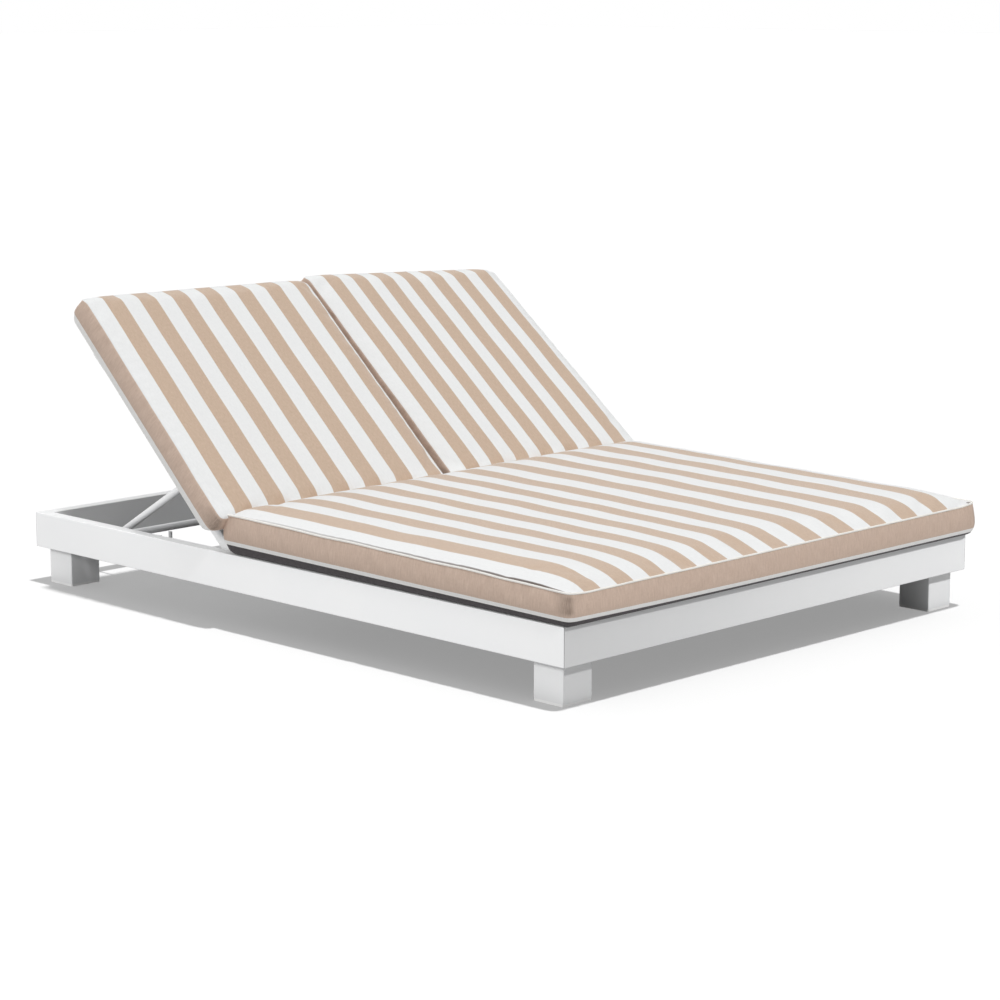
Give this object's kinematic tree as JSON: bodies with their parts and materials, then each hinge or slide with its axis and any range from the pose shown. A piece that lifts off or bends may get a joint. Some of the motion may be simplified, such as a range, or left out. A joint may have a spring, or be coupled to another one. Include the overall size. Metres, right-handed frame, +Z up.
{
  "type": "double chaise lounge",
  "caption": "Wide sun lounger for two on a white metal box frame, with striped seat and back cushions and backs that recline on toothed racks.",
  "frame": {"origin": "on the floor, under the middle of the whole outline with the backs raised", "axes": "+Y towards the head end, +X to the right of someone lying on the lounger, +Z up"},
  "size_m": [1.56, 2.02, 0.7838],
  "materials": {
    "white_metal": "satin",
    "striped_fabric": "matte",
    "steel": "satin",
    "plastic": "matte"
  },
  "bodies": {
    "base": {"centre_beam": "white_metal", "foot_leg_left": "white_metal", "foot_leg_right": "white_metal", "foot_pads": "plastic", "foot_rail": "white_metal", "head_ledge": "white_metal", "head_leg_left": "white_metal", "head_leg_right": "white_metal", "head_rail": "white_metal", "hinge_beam": "white_metal", "hinge_brackets": "steel", "hinge_pins": "steel", "left_rack_inner": "white_metal", "left_rack_outer": "white_metal", "right_rack_inner": "white_metal", "right_rack_outer": "white_metal", "seat_cushion": "striped_fabric", "seat_slat_1": "white_metal", "seat_slat_2": "white_metal", "seat_slat_3": "white_metal", "seat_slat_4": "white_metal", "seat_slat_5": "white_metal", "seat_slat_6": "white_metal", "seat_slat_7": "white_metal", "seat_slat_8": "white_metal", "side_rail_left": "white_metal", "side_rail_right": "white_metal", "slat_ledges": "white_metal"},
    "left_back": {"left_back_bottom_tube": "white_metal", "left_back_cushion": "striped_fabric", "left_back_end_plugs": "plastic", "left_back_inner_tube": "white_metal", "left_back_outer_tube": "white_metal", "left_back_slat_1": "white_metal", "left_back_slat_2": "white_metal", "left_back_slat_3": "white_metal", "left_back_slat_4": "white_metal", "left_back_slat_5": "white_metal", "left_back_slat_6": "white_metal", "left_back_top_tube": "white_metal", "left_stay_pins": "steel"},
    "right_back": {"right_back_bottom_tube": "white_metal", "right_back_cushion": "striped_fabric", "right_back_end_plugs": "plastic", "right_back_inner_tube": "white_metal", "right_back_outer_tube": "white_metal", "right_back_slat_1": "white_metal", "right_back_slat_2": "white_metal", "right_back_slat_3": "white_metal", "right_back_slat_4": "white_metal", "right_back_slat_5": "white_metal", "right_back_slat_6": "white_metal", "right_back_top_tube": "white_metal", "right_stay_pins": "steel"},
    "left_stay": {"left_stay_foot_bar": "white_metal", "left_stay_legs": "white_metal"},
    "right_stay": {"right_stay_foot_bar": "white_metal", "right_stay_legs": "white_metal"}
  },
  "joints": [
    {"name": "left_back_recline", "type": "hinge", "parent": "base", "child": "left_back", "pos_m": [-0.3675, 0.214, 0.165], "axis": [1, 0, 0], "range_deg": [-41, 9]},
    {"name": "right_back_recline", "type": "hinge", "parent": "base", "child": "right_back", "pos_m": [0.3675, 0.214, 0.165], "axis": [1, 0, 0], "range_deg": [-41, 9]},
    {"name": "left_stay_turn", "type": "hinge", "parent": "left_back", "child": "left_stay", "pos_m": [-0.3675, 0.42532, 0.3487], "axis": [1, 0, 0], "range_deg": [-15, 68]},
    {"name": "right_stay_turn", "type": "hinge", "parent": "right_back", "child": "right_stay", "pos_m": [0.3675, 0.42532, 0.3487], "axis": [1, 0, 0], "range_deg": [-15, 68]}
  ],
  "couplings": [
    {"joint": "left_stay_turn", "follows": "left_back_recline", "ratio": -1.65},
    {"joint": "right_stay_turn", "follows": "right_back_recline", "ratio": -1.65}
  ]
}
